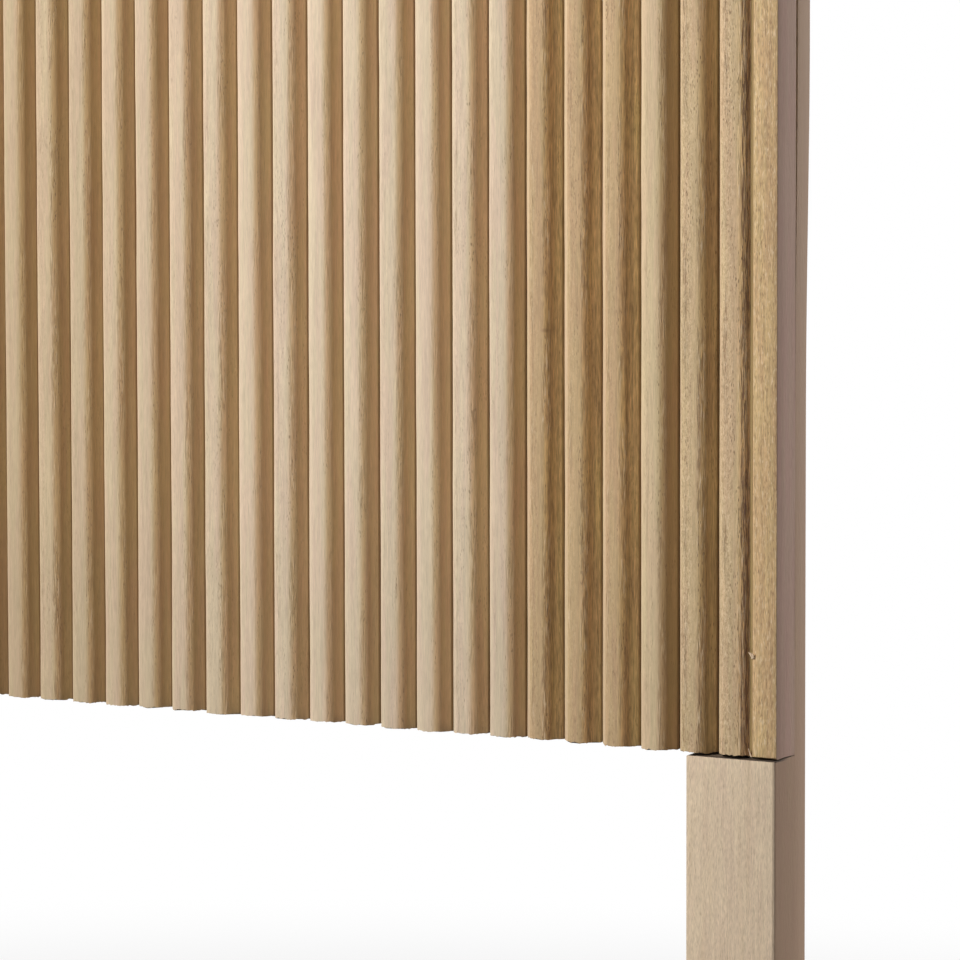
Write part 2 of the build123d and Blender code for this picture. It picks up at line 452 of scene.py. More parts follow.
def grain(finish, base, contrast, axis="Z", length=1.0, tinting=1.0):
    """Long soft bands of two tints, streaks and fine lines over a base colour. Gives the colour
    and the relief of the lines."""
    bands = finish.noise(finish.along_grain(BANDS, axis, length), distortion=0.3)
    streaks = finish.noise(
        finish.along_grain(STREAKS, axis, length), detail=3.0, roughness=0.6, distortion=0.3
    )
    lines = finish.noise(finish.along_grain(LINES, axis, length))
    tint = finish.mix(bands.ramp(*BAND_CHANGE), opaque(ROSY_TINT), opaque(GREEN_TINT))
    tinted = finish.mix(tinting, base, tint, "MULTIPLY")
    figure = bands * BAND_SHARE + streaks * STREAK_SHARE + lines * LINE_SHARE - MIDDLE_VALUE
    return finish.mix(1.0, tinted, contrast * figure + 1.0, "MULTIPLY"), lines + streaks * STREAK_RELIEF


def broad_bands(finish, axis="Z"):
    """Wide soft bands along a strip, leg or cap."""
    return finish.noise(finish.along_grain(BROAD_BANDS, axis)).ramp(*BROAD_BAND_RAMP)


def pores(finish, amount, axis="Z"):
    """Short dark dashes in loose groups, stronger where the amount is."""
    dashes = finish.cells(finish.along_grain(PORE_DASHES, axis)).ramp(*DASH_RAMP)
    groups = finish.noise(finish.along_grain(PORE_GROUPS, axis)).ramp(*GROUP_RAMP)
    return dashes * groups * amount


def end_grain(finish, body, shade):
    """Darkens the sawn ends and freckles them."""
    freckles = finish.noise(finish.place((FRECKLE_SIZE,) * 3), detail=3.0)
    sawn = finish.mix(1.0, body, freckles * FRECKLE_STRENGTH + shade, "MULTIPLY")
    return finish.mix(abs(finish.facing("Z")).ramp(*SAWN_FACING), body, sawn)


# Slat wood. Zones run across a slat from -1 at its left edge to 1 at its right. Two values say where
# a zone starts and where it is full, four say where it starts, is full, is full until, and ends
FLANK = (0.10, 0.56)
FLANK_FOOT = (0.6, 1.0)
BOUNCE_FLANK = (0.32, 0.54)
COOL_FOOT = (0.62, 0.95)
VALLEY = (0.62, 0.9)
HIGHLIGHT_SIDE = (-0.50, -0.62)
LEFT_PART = (0.15, -0.15)
LEFT_BAND = (-0.56, -0.46, -0.30, -0.16)
ROUND_SHOULDER = (0.22, 0.36, 0.56, 0.74)
TORN_FLANK = (0.42, 0.52, 0.74, 0.82)
LEDGE = (0.74, 0.80)
LEDGE_FOOT = (0.82, 0.93)
CREASE_LINE = (0.935, 0.965)

# How strongly the zones are coloured, painted shade on flanks and creases among them, and the heights
# between which painted shade makes the panel duller below, as light falls off there
FLANK_SHADING = 0.46
FOOT_LESS_SHADED = 0.14
FOOT_COOLED = 0.6
LOW_PANEL = (0.66, 0.54)
LOW_PANEL_SHADE = 0.06
SLAT_CONTRAST = 0.9
COARSE_CONTRAST = 0.3
CREASE_SHADE_STRENGTH = 0.6
SLAT_END_SHADE = 0.42

# Pores: a few everywhere, and more in coarse wood and on the round shoulder
FEW_PORES = 0.08
COARSE_PORES = 0.5
SHOULDER_PORES = 0.4

# Fibres that stand up, in patches, with painted highlights and painted shade where the light rakes them
FIBRE_PATCHES = (9.0, 50.0, 31.0)
FIBRE_PATCH_RAMP = (0.40, 0.58)
FIBRES = (0.55, 9.0, 11.0)
LIGHT_FIBRE_RAMP = (0.53, 0.64)
DARK_FIBRE_RAMP = (0.47, 0.37)
SHOULDER_FIBRES = 0.35
COARSE_SHOULDER_FIBRES = 0.5
COARSE_BAND_FIBRES = 0.8
LIGHT_FIBRE_STRENGTH = 0.7
DARK_FIBRE_STRENGTH = 0.65

# Specks on coarse slats, more of them on the left part
SPECKS = (0.8, 2.2, 43.0)
LIGHT_SPECK_RAMP = (0.54, 0.68)
DARK_SPECK_RAMP = (0.46, 0.34)
SPECK_STRENGTH = 0.12
LEFT_SPECK_GAIN = 0.2

# The torn slat's splits and splinters, in patches, and the painted shade on its ledge
TEAR_PATCHES = (12.0, 70.0, 37.0)
TEAR_PATCH_RAMP = (0.34, 0.5)
TEAR_EVERYWHERE = 0.3
SPLITS = (0.65, 12.0, 23.0)
SPLIT_RAMP = (0.52, 0.44)
SPLINTER_RAMP = (0.56, 0.62)
SPLIT_STRENGTH = 0.72
SPLINTER_STRENGTH = 0.6
LEDGE_SHADE_STRENGTH = 0.85
LEDGE_FOOT_SHADE_STRENGTH = 0.45

# A row of dark pores on one brown slat: its place, and its half width, depth and height
ROW_PLACE = (0.3948, -0.018, 0.9075)
ROW_SIZE = (0.9 * MM, 9.0 * MM, 21.0 * MM)
ROW_CORE = 0.6
ROW_PORES = (1.2, 1.9, 3.0)
ROW_PORE_RAMP = (0.55, 0.3)
ROW_STRENGTH = 0.7

# Two small knots: place, half sizes, and the share of them that is fully dark
KNOTS = (
    ((0.3545, -0.012, 0.7325), (4.0 * MM, 9.0 * MM, 2.2 * MM), 0.3),
    ((0.196, -0.010, 0.603), (3.0 * MM, 7.0 * MM, 5.0 * MM), 0.4),
)
KNOT_STRENGTH = 0.75

# Relief and roughness of the sanded slats
SLAT_RELIEF = 0.4
MARK_RELIEF = 0.5
SPLINTER_RELIEF = 0.6
SLAT_ROUGHNESS = 0.66
ROUGHER_GRAIN = 0.06
SLAT_BUMP = 0.35 * MM


def slat_base(finish, across, flank):
    """A slat's colour under its grain: a pale painted highlight at the left edge, brown painted shade
    and warm painted bounce light on the flank, olive painted reflected light in the valley, and painted
    shade a little duller low on the panel."""
    # Painted highlight: the left edge, which faces the key lamp, is stained pale cream
    edge_highlight = across.ramp(*HIGHLIGHT_SIDE) * finish.attribute("edge_highlight")
    base = finish.stain(finish.attribute("wood_tone", "Color"), EDGE_HIGHLIGHT_CREAM, edge_highlight)
    # Painted shade: the flank, turned from the key lamp, is stained brown, less at its foot
    flank_shade = flank * (FLANK_SHADING - across.ramp(*FLANK_FOOT) * FOOT_LESS_SHADED)
    base = finish.stain(base, FLANK_SHADE_BROWN, flank_shade)
    # Painted bounce light: the flank is warmed as if lit from the next slat, less at its foot
    bounce_warmth = across.ramp(*BOUNCE_FLANK) * (1.0 - across.ramp(*COOL_FOOT) * FOOT_COOLED)
    base = finish.mix(bounce_warmth, base, opaque(FLANK_BOUNCE_WARMTH), "MULTIPLY")
    # Painted reflected light: the valley is stained olive, as much as each slat's glow says
    base = finish.stain(base, VALLEY_BOUNCE_OLIVE, across.ramp(*VALLEY) * finish.attribute("valley_glow"))
    # Painted light on the flank: each slat's factor lightens or darkens its colour
    shade = flank * (finish.attribute("flank_light") - 1.0) + 1.0
    # Painted shade: darker towards the bottom of the panel, as light falls off there
    low_shade = finish.position("Z").ramp(*LOW_PANEL) * LOW_PANEL_SHADE
    return finish.mix(1.0, base, shade - low_shade, "MULTIPLY")


def raise_fibres(finish, body, across, shoulder, coarse):
    """Fibres that stand up in patches, most where the round shoulder turns from the light, with relief
    and with pale painted highlights and dark painted shade. Gives the colour and the relief."""
    patches = finish.noise(finish.along_grain(FIBRE_PATCHES), detail=1.0).ramp(*FIBRE_PATCH_RAMP)
    on_shoulder_part = shoulder * (coarse * COARSE_SHOULDER_FIBRES + SHOULDER_FIBRES)
    on_left_band = across.within(*LEFT_BAND) * coarse * COARSE_BAND_FIBRES
    lifted = (on_shoulder_part + on_left_band) * patches
    fibres = finish.noise(finish.along_grain(FIBRES), distortion=0.4)
    light_fibres = fibres.ramp(*LIGHT_FIBRE_RAMP) * lifted
    dark_fibres = fibres.ramp(*DARK_FIBRE_RAMP) * lifted
    # Painted highlights and painted shade on the raised fibres
    body = finish.stain(body, PALE_FIBRE, light_fibres * LIGHT_FIBRE_STRENGTH)
    body = finish.stain(body, DARK_FIBRE, dark_fibres * DARK_FIBRE_STRENGTH)
    return body, (light_fibres - dark_fibres) * MARK_RELIEF


def speckle(finish, body, across, flank, coarse):
    """Fine light and dark specks on the tops of coarse slats. Gives the colour and the relief."""
    specks = finish.noise(finish.along_grain(SPECKS), distortion=1.0)
    strength = across.ramp(*LEFT_PART) * LEFT_SPECK_GAIN + SPECK_STRENGTH
    speckled = (1.0 - flank) * coarse * coarse * strength
    body = finish.stain(body, PALE_FIBRE, specks.ramp(*LIGHT_SPECK_RAMP) * speckled)
    body = finish.stain(body, DARK_FIBRE, specks.ramp(*DARK_SPECK_RAMP) * speckled)
    return body, specks * speckled * MARK_RELIEF


def tear(finish, body, across):
    """The torn slat's splits and splinters along its flank, and painted shade on the ledge at the
    flank's foot: olive, and darker toward the joint. Gives the colour and the relief."""
    torn_slat = finish.attribute("torn")
    patches = finish.noise(finish.along_grain(TEAR_PATCHES)).ramp(*TEAR_PATCH_RAMP)
    torn_here = patches * (1.0 - TEAR_EVERYWHERE) + TEAR_EVERYWHERE
    torn = torn_slat * across.within(*TORN_FLANK) * torn_here
    splits = finish.noise(finish.along_grain(SPLITS), detail=3.0, distortion=0.6)
    open_splits = splits.ramp(*SPLIT_RAMP) * torn
    splinters = splits.ramp(*SPLINTER_RAMP) * torn
    body = finish.stain(body, SPLIT, open_splits * SPLIT_STRENGTH)
    body = finish.stain(body, PALE_FIBRE, splinters * SPLINTER_STRENGTH)
    ledge = torn_slat * across.ramp(*LEDGE)
    # Painted shade: the ledge beside the strip is stained a dark olive
    body = finish.stain(body, SHADED_LEDGE_OLIVE, ledge * LEDGE_SHADE_STRENGTH)
    # Painted shade at the ledge's foot, toward the joint
    body = finish.stain(body, CREASE_SHADE, ledge * across.ramp(*LEDGE_FOOT) * LEDGE_FOOT_SHADE_STRENGTH)
    return body, splinters * SPLINTER_RELIEF - open_splits


def single_marks(finish, body):
    """The row of dark pores and the two knots."""
    row = finish.spot(ROW_PLACE, ROW_SIZE).ramp(1.0, ROW_CORE)
    row_pores = finish.cells(finish.along_grain(ROW_PORES)).ramp(*ROW_PORE_RAMP) * row
    body = finish.stain(body, PORE, row_pores * ROW_STRENGTH)
    for centre, size, core in KNOTS:
        body = finish.stain(body, KNOT, finish.spot(centre, size).ramp(1.0, core) * KNOT_STRENGTH)
    return body


def slat_finish():
    """Pale open-grained wood, in which each zone across a slat has its own wear, and its own painted
    highlight, shade and reflected light.
    """
    finish = Finish("sanded_slat_wood")
    coarse = finish.attribute("coarseness")
    across = finish.attribute("across")
    flank = across.ramp(*FLANK)
    shoulder = across.within(*ROUND_SHOULDER)
    contrast = coarse * COARSE_CONTRAST + SLAT_CONTRAST
    contrast = contrast + flank * (finish.attribute("flank_contrast") - contrast)
    body, relief = grain(finish, slat_base(finish, across, flank), contrast)
    dark_pores = pores(finish, coarse * COARSE_PORES + shoulder * SHOULDER_PORES + FEW_PORES)
    body = finish.stain(body, PORE, dark_pores)
    body, fibre_relief = raise_fibres(finish, body, across, shoulder, coarse)
    body, speck_relief = speckle(finish, body, across, flank, coarse)
    body, tear_relief = tear(finish, body, across)
    body = single_marks(finish, body)
    # Painted shade in the valley crease along the slat's right edge
    body = finish.stain(body, CREASE_SHADE, across.ramp(*CREASE_LINE) * CREASE_SHADE_STRENGTH)
    body = end_grain(finish, body, SLAT_END_SHADE)
    body = finish.stain(body, RAW_FIBRE, finish.attribute("raw_fibre"))
    height = relief * SLAT_RELIEF - dark_pores * PORE_RELIEF
    height = height + fibre_relief + tear_relief + speck_relief
    return finish.connect(body, SLAT_ROUGHNESS + relief * ROUGHER_GRAIN, height, SLAT_BUMP)


# Strip, leg and cap wood. The front's colour turns outward between two distances from the middle,
# and a fine dark line runs beside the front's outer corner
SIDE_FACING = (0.55, 0.9)
OUTER_PART = (0.490, 0.501)
CORNER_LINE = (0.5010, 0.5014, 0.5018, 0.5022)
CORNER_STRENGTH = 0.25
SIDE_FIGURE = 0.3
FRONT_BAND_STRENGTH = 0.12
SIDE_BAND_STRENGTH = 0.2
FLECKS = (0.8, 4.0, 13.0)
DARK_FLECK_RAMP = (0.55, 0.72)
PALE_FLECK_RAMP = (0.45, 0.30)
FRAME_END_SHADE = 0.45

# Painted shadow in the gap over a leg's shoulder: nearly black on the faces that look up, and on the
# side faces' front
SHADOW_HEIGHTS = (SHOULDER - 0.6 * MM, SHOULDER - 0.1 * MM, SHOULDER, SHOULDER + SHOULDER_RISE)
UP_FACING = (0.7, 0.95)
NEAR_FRONT = (0.0, -12.0 * MM)
SHADOW_STRENGTH = 0.95

# Relief and roughness of the frame's wood, and what only the cap has
FRAME_RELIEF = 0.5
FLECK_RELIEF = 0.3
FRAME_ROUGHNESS = 0.64
FRAME_BUMP = 0.3 * MM
CAP_CONTRAST = 1.7
CAP_BAND_STRENGTH = 0.25
CAP_PORES = 0.45


def shade_shoulder(finish, body, side_faces):
    """Paints the shadow in the gap between a leg's shoulder and the panel, nearly black."""
    height = finish.position("Z").within(*SHADOW_HEIGHTS)
    near_front = finish.position("Y").ramp(*NEAR_FRONT)
    reach = finish.facing("Z").ramp(*UP_FACING) + side_faces * near_front
    return finish.stain(body, SHADED_SHOULDER, height * reach * SHADOW_STRENGTH)


def frame_finish(name, inner, outer, side, contrast, fleck_amount, tinting, length):
    """The wood of the strips and legs. Its front turns from one colour to another outward. The side
    faces are greyer and darker, and less figured."""
    finish = Finish(name)
    side_faces = abs(finish.facing("X")).ramp(*SIDE_FACING)
    front = 1.0 - side_faces
    figured = front * (1.0 - SIDE_FIGURE) + SIDE_FIGURE
    outward = abs(finish.position("X"))
    face = finish.mix(outward.ramp(*OUTER_PART), opaque(inner), opaque(outer))
    base = finish.stain(face, side, side_faces)
    body, relief = grain(finish, base, contrast * figured, length=length, tinting=tinting)
    bands = broad_bands(finish)
    body = finish.stain(body, BAND_BROWN, bands * front * (contrast * FRONT_BAND_STRENGTH))
    body = finish.stain(body, SIDE_BAND_BROWN, bands * side_faces * SIDE_BAND_STRENGTH)
    dark_pores = pores(finish, fleck_amount * figured)
    body = finish.stain(body, PORE, dark_pores)
    flecks = finish.noise(finish.along_grain(FLECKS), distortion=0.5)
    body = finish.stain(body, DARK_FIBRE, flecks.ramp(*DARK_FLECK_RAMP) * front * fleck_amount)
    body = finish.stain(body, PALE_FIBRE, flecks.ramp(*PALE_FLECK_RAMP) * front * fleck_amount)
    body = finish.stain(body, DARK_FIBRE, outward.within(*CORNER_LINE) * front * CORNER_STRENGTH)
    body = end_grain(finish, body, FRAME_END_SHADE)
    body = shade_shoulder(finish, body, side_faces)
    body = finish.stain(body, RAW_FIBRE, finish.attribute("raw_fibre"))
    height = relief * FRAME_RELIEF - dark_pores * PORE_RELIEF - flecks * FLECK_RELIEF
    return finish.connect(body, FRAME_ROUGHNESS + relief * ROUGHER_GRAIN, height, FRAME_BUMP)


def cap_finish():
    """The strips' wood, with its grain along the cap."""
    finish = Finish("ochre_cap_wood")
    body, relief = grain(finish, opaque(STRIP_INNER), CAP_CONTRAST, "X")
    body = finish.stain(body, BAND_BROWN, broad_bands(finish, "X") * CAP_BAND_STRENGTH)
    dark_pores = pores(finish, CAP_PORES, "X")
    body = finish.stain(body, PORE, dark_pores)
    height = relief * FRAME_RELIEF - dark_pores * PORE_RELIEF
    return finish.connect(body, FRAME_ROUGHNESS + relief * ROUGHER_GRAIN, height, FRAME_BUMP)


# Raw wood behind the panel. The plywood's figure is cut from soft rings in a broad pattern
RAW_ROUGHNESS = 0.6
ROUGHER_RAW_GRAIN = 0.08
PLYWOOD_FIGURE_SIZE = (55.0 * MM, 300.0 * MM, 420.0 * MM)
PLYWOOD_CONTRAST = 0.35
RING_COUNT = 75.0
RING_RAMP = (0.1, 1.0)
RING_STRENGTH = 0.30
RING_RELIEF = 0.15
PLY_WAVES = 110.0
PLY_RAMP = (0.4, 0.6)
PLY_STRENGTH = 0.6
EDGE_FACING = (0.6, 0.3)
PLYWOOD_BUMP = 0.12 * MM
RAIL_CONTRAST = 0.7
YEAR_SIZE = (620.0 * MM, 60.0 * MM, 9.0 * MM)
YEAR_RAMP = (0.5, 0.66)
YEAR_STRENGTH = 0.45
YEAR_RELIEF = 0.3
RAIL_PORES = 0.35
RAIL_BUMP = 0.2 * MM


def plywood_finish():
    """Birch plywood: broad soft figure on its faces, and plies on its edges."""
    finish = Finish("birch_plywood")
    figure = finish.noise(finish.place(PLYWOOD_FIGURE_SIZE), detail=3.0, distortion=0.9)
    rings = finish.add("ShaderNodeMath", {"operation": "SINE"}, figure * RING_COUNT)
    body, relief = grain(finish, opaque(PLYWOOD), PLYWOOD_CONTRAST)
    body = finish.stain(body, PLYWOOD_FIGURE, rings.ramp(*RING_RAMP) * RING_STRENGTH)
    waves = {"bands_direction": "Y"}
    plies = finish.add("ShaderNodeTexWave", waves, finish.coordinates("Object"), PLY_WAVES, out="Fac")
    edge = abs(finish.facing("Y")).ramp(*EDGE_FACING)
    body = finish.stain(body, PLYWOOD_EDGE, edge * plies.ramp(*PLY_RAMP) * PLY_STRENGTH)
    roughness = RAW_ROUGHNESS + relief * ROUGHER_RAW_GRAIN
    return finish.connect(body, roughness, relief + rings * RING_RELIEF, PLYWOOD_BUMP)


def rail_finish():
    """Planed softwood with its grain along X."""
    finish = Finish("planed_rail_wood")
    body, relief = grain(finish, opaque(RAIL), RAIL_CONTRAST, "X")
    years = finish.noise(finish.place(YEAR_SIZE), distortion=0.5)
    body = finish.stain(body, RAIL_YEARS, years.ramp(*YEAR_RAMP) * YEAR_STRENGTH)
    body = finish.stain(body, RAIL_PORE, pores(finish, RAIL_PORES, "X"))
    roughness = RAW_ROUGHNESS + relief * ROUGHER_RAW_GRAIN
    return finish.connect(body, roughness, relief - years * YEAR_RELIEF, RAIL_BUMP)


# Fittings: a mottle that darkens the colour, and fine scuffs along Z that lighten it
MOTTLE_SIZE = 2.5 * MM
MOTTLE_RAMP = (0.35, 0.65)
MOTTLE_SHADE = 0.78
MOTTLE_ROUGHNESS = 0.2
SCUFF_SIZE = (0.25 * MM, 0.25 * MM, 6.0 * MM)
SCUFF_RAMP = (0.55, 0.75)
SCUFF_LIGHT = 1.25
SCUFF_STRENGTH = 0.25
SCUFF_ROUGHNESS = 0.15
SCUFF_RELIEF = 0.4
FITTING_BUMP = 0.04 * MM


def fitting_finish(name, base, roughness, metallic):
    """Plated metal or moulded plastic, with a mottle and fine scuffs."""
    finish = Finish(name)
    finish.shader.inputs["Metallic"].default_value = metallic
    mottle = finish.noise(finish.place((MOTTLE_SIZE,) * 3), detail=4.0)
    scuffs = finish.noise(finish.place(SCUFF_SIZE)).ramp(*SCUFF_RAMP)
    body = finish.mix(mottle.ramp(*MOTTLE_RAMP), opaque(base), opaque(base, MOTTLE_SHADE))
    body = finish.mix(scuffs * SCUFF_STRENGTH, body, opaque(base, SCUFF_LIGHT))
    roughened = mottle * MOTTLE_ROUGHNESS + scuffs * SCUFF_ROUGHNESS + roughness
    return finish.connect(body, roughened, mottle + scuffs * SCUFF_RELIEF, FITTING_BUMP)


# Modelling helpers


def start_piece():
    """Leaves object mode with nothing selected, ready for a new primitive."""
    if bpy.context.mode != "OBJECT":
        bpy.ops.object.mode_set(mode="OBJECT")
    bpy.ops.object.select_all(action="DESELECT")


def make_active(piece):
    start_piece()
    piece.select_set(True)
    bpy.context.view_layer.objects.active = piece


def settle(name):
    """Names the active object and puts its place into its mesh."""
    piece = bpy.context.active_object
    piece.name = name
    piece.data.name = name
    bpy.ops.object.transform_apply(location=True, rotation=True, scale=True)
    return piece


def box_piece(name, low, high):
    """A cube primitive between two corners."""
    start_piece()
    middle = [(a + b) / 2 for a, b in zip(low, high)]
    size = [b - a for a, b in zip(low, high)]
    bpy.ops.mesh.primitive_cube_add(size=1.0, location=middle, scale=size)
    return settle(name)


def copy_piece(piece, name):
    """A copy with its own mesh."""
    twin = piece.copy()
    twin.data = piece.data.copy()
    twin.name = name
    twin.data.name = name
    bpy.context.collection.objects.link(twin)
    return twin


def edit(piece):
    """Enters edit mode on one piece, with all of it selected."""
    make_active(piece)
    bpy.ops.object.mode_set(mode="EDIT")
    bpy.ops.mesh.select_all(action="SELECT")


def leave_edit():
    bpy.ops.object.mode_set(mode="OBJECT")


def pick(kind, wanted):
    """Selects the active mesh's vertices, edges or faces that a test accepts."""
    bpy.ops.mesh.select_mode(type=kind)
    bpy.ops.mesh.select_all(action="DESELECT")
    mesh = bmesh.from_edit_mesh(bpy.context.active_object.data)
    parts = {"VERT": mesh.verts, "EDGE": mesh.edges, "FACE": mesh.faces}[kind]
    for part in parts:
        if wanted(part):
            part.select = True
    mesh.select_flush_mode()
    bmesh.update_edit_mesh(bpy.context.active_object.data)


def near(value, target):
    return abs(value - target) < TOLERANCE


def upright(edge):
    """True for an edge that runs along Z."""
    run = edge.verts[1].co - edge.verts[0].co
    return abs(run.z) > UPRIGHT * run.length


def lies_at(edge, axis, position):
    """True for an edge whose two ends lie at one place along an axis."""
    return all(near(vertex.co["XYZ".index(axis)], position) for vertex in edge.verts)


def looks_toward(face, direction):
    """True for a face whose normal points along a direction."""
    return face.normal.dot(direction) > SAME_WAY


def extrude(offset):
    bpy.ops.mesh.extrude_region_move(TRANSFORM_OT_translate={"value": offset})


def shift(x=0.0, y=0.0, z=0.0):
    """Moves what is selected."""
    bpy.ops.transform.translate(value=(x, y, z))


def squeeze(x, y, centre):
    """Draws what is selected in toward a centre, to a share of its size along X and Y."""
    bpy.ops.transform.resize(value=(x, y, 1.0), center_override=centre)


def turn(angle, axis, centre):
    """Turns what is selected. The operator turns the other way when no window is open."""
    bpy.ops.transform.rotate(value=-angle, orient_axis=axis, center_override=centre)


def ease(width, steps, wanted):
    """Bevels the sharp edges that a test accepts, round when there is more than one step."""
    pick("EDGE", lambda edge: edge.calc_face_angle(0.0) > SHARP_ANGLE and wanted(edge))
    bpy.ops.mesh.bevel(offset=width, segments=steps, affect="EDGES")


def cut(point, normal, clear=False):
    """Cuts the whole mesh at a plane, and may take away what lies beyond it."""
    bpy.ops.mesh.select_all(action="SELECT")
    bpy.ops.mesh.bisect(plane_co=point, plane_no=normal, use_fill=clear, clear_outer=clear)


def level_cut(z):
    """Cuts the whole mesh at a height."""
    cut(UP * z, UP)


def add_rings(count):
    """Divides the long upright edges, so that the piece can bend along its height."""
    pick("EDGE", lambda edge: upright(edge) and edge.calc_length() > LONG_EDGE)
    bpy.ops.mesh.subdivide(number_cuts=count)


def apply_modifier(piece, kind, **settings):
    """Adds a modifier, sets it up and applies it."""
    make_active(piece)
    modifier = piece.modifiers.new(kind.lower(), kind)
    for key, value in settings.items():
        setattr(modifier, key, value)
    bpy.ops.object.modifier_apply(modifier=modifier.name)


def smooth(piece):
    """Shades a piece smooth, and leaves its sharp edges sharp."""
    make_active(piece)
    bpy.ops.object.shade_smooth_by_angle(angle=SMOOTH_ANGLE)


def clouds(name, size):
    texture = bpy.data.textures.new(name, "CLOUDS")
    texture.noise_scale = size
    return texture


def uneven(piece, texture, amount, grain_frame):
    """Raises and lowers the surface by a pattern that is drawn out along the grain."""
    apply_modifier(
        piece, "DISPLACE", texture=texture, texture_coords="OBJECT",
        texture_coords_object=grain_frame, strength=amount,
    )


def ragged_end(piece, z, texture):
    """Leaves the rim of one end uneven along Z, as a saw does."""
    group = piece.vertex_groups.new(name="rim")
    rim = [vertex.index for vertex in piece.data.vertices if near(vertex.co.z, z)]
    group.add(rim, 1.0, "REPLACE")
    apply_modifier(
        piece, "DISPLACE", texture=texture, texture_coords="LOCAL",
        vertex_group="rim", direction="Z", strength=END_RAGGEDNESS,
    )


def drop_end(piece, z, amount):
    """Lengthens a piece a little at its lower end."""
    edit(piece)
    pick("VERT", lambda vertex: vertex.co.z < z + END_REACH)
    shift(z=-amount)
    leave_edit()


def fill_attribute(piece, name, kind, value):
    """Stores one value for the whole piece, for its finish to read."""
    layer = piece.data.attributes.new(name, kind, "POINT")
    count = len(piece.data.vertices)
    if kind == "FLOAT":
        layer.data.foreach_set("value", [value] * count)
    else:
        layer.data.foreach_set("color", list(value) * count)


def dress(piece, node, material):
    """Gives a finished piece its material, and lets it stand for its CAD node."""
    piece.data.materials.clear()
    piece.data.materials.append(material)
    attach(piece, "root")
    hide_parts(node)


def refinish(material, *nodes):
    """Gives pieces that keep their CAD shape a finish."""
    for node in nodes:
        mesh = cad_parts[node].data
        mesh.materials.clear()
        mesh.materials.append(material)


# Loose slivers


def splinter(foot, tip):
    """A sliver of wood: a thin box drawn to a point at its upper end, and leaned over."""
    half = Vector((SPLINTER_WIDTH / 2, SPLINTER_WIDTH / 2, 0.0))
    sliver = box_piece("splinter", foot - half, foot + half + UP * tip.z)
    edit(sliver)
    pick("VERT", lambda vertex: vertex.co.z > foot.z + tip.z / 2)
    squeeze(SPLINTER_POINT, SPLINTER_POINT, foot)
    shift(tip.x, tip.y)
    leave_edit()
    fill_attribute(sliver, "raw_fibre", "FLOAT", 1.0)
    return sliver


def lift_splinters(piece, corner, places):
    """Joins a few loose slivers to a piece."""
    slivers = [splinter(corner + Vector(foot) * MM, Vector(tip) * MM) for foot, tip in places]
    make_active(piece)
    for sliver in slivers:
        sliver.select_set(True)
    bpy.ops.object.join()


# Slats


def raise_crown(centre_x, top_y, flat):
    """Divides the edges across the flat top, and raises its middle."""
    pick("EDGE", lambda edge: not upright(edge) and lies_at(edge, "Y", top_y))
    bpy.ops.mesh.subdivide(number_cuts=CROWN_STEPS - 1)
    for step in range(1, CROWN_STEPS):
        across = 2.0 * step / CROWN_STEPS - 1.0
        line_x = centre_x + across * flat
        pick("VERT", lambda vertex: near(vertex.co.x, line_x) and near(vertex.co.y, top_y))
        shift(y=-FLAT_CROWN * (1.0 - across ** 2))


def add_columns(rear_y):
    """Divides the wide edges across a slat's ends, apart from those at its rear."""
    pick("EDGE", lambda edge: (
        not upright(edge) and edge.calc_length() > COLUMN_EDGE and not lies_at(edge, "Y", rear_y)
    ))
    bpy.ops.mesh.subdivide(number_cuts=COLUMN_CUTS)


def mark_across(blank, centre_x, half):
    """Stores how far each point lies from the slat's middle, from -1 at its left to 1 at its right."""
    layer = blank.data.attributes.new("across", "FLOAT", "POINT")
    for vertex in blank.data.vertices:
        layer.data[vertex.index].value = (vertex.co.x - centre_x) / half


def slat_blank(low, high, valley_y):
    """One slat: the slab, its front face drawn forward and narrowed, the two long corners rounded,
    and the top given its crown."""
    blank = box_piece("slat_blank", (low.x, valley_y, low.z), high)
    centre_x = (low.x + high.x) / 2
    half = (high.x - low.x) / 2
    rise = SLAT_RISE - TOP_CROWN
    corner = half - rise * math.tan(FLANK_DRAFT)
    top_y = valley_y - rise
    edit(blank)
    pick("FACE", lambda face: looks_toward(face, -REAR))
    extrude((0.0, -rise, 0.0))
    squeeze(corner / half, 1.0, (centre_x, top_y, low.z))
    tangent = SHOULDER_RADIUS * math.tan((math.pi / 2 - FLANK_DRAFT) / 2)
    ease(tangent, SHOULDER_STEPS, lambda edge: upright(edge) and lies_at(edge, "Y", top_y))
    raise_crown(centre_x, top_y, corner - tangent)
    add_columns(high.y)
    add_rings(SLAT_RINGS)
    level_cut(low.z + END_ZONE)
    leave_edit()
    mark_across(blank, centre_x, half)
    return blank


def fill_ledge(piece, ledge_x, ledge_y):
    """Fills the foot of the right flank up to a flat ledge."""
    for vertex in piece.data.vertices:
        if vertex.co.x > ledge_x and ledge_y < vertex.co.y < ledge_y + SLAT_RISE:
            vertex.co.y = ledge_y


def narrow_top(piece, centre_x, top_y):
    """Leans the flanks in a little more, which leaves a narrower top."""
    for vertex in piece.data.vertices:
        share = 1.0 - (vertex.co.y - top_y) / SLAT_RISE
        if share > 0.0:
            vertex.co.x += (centre_x - vertex.co.x) * BROWN_NARROWING * share


def paleness(number):
    """0 for a slat left of the honey one, 1 for one right of the pale one, and between them in steps."""
    return min(1.0, max(0.0, (number - HONEY_SLAT) / (PALE_SLAT - HONEY_SLAT)))


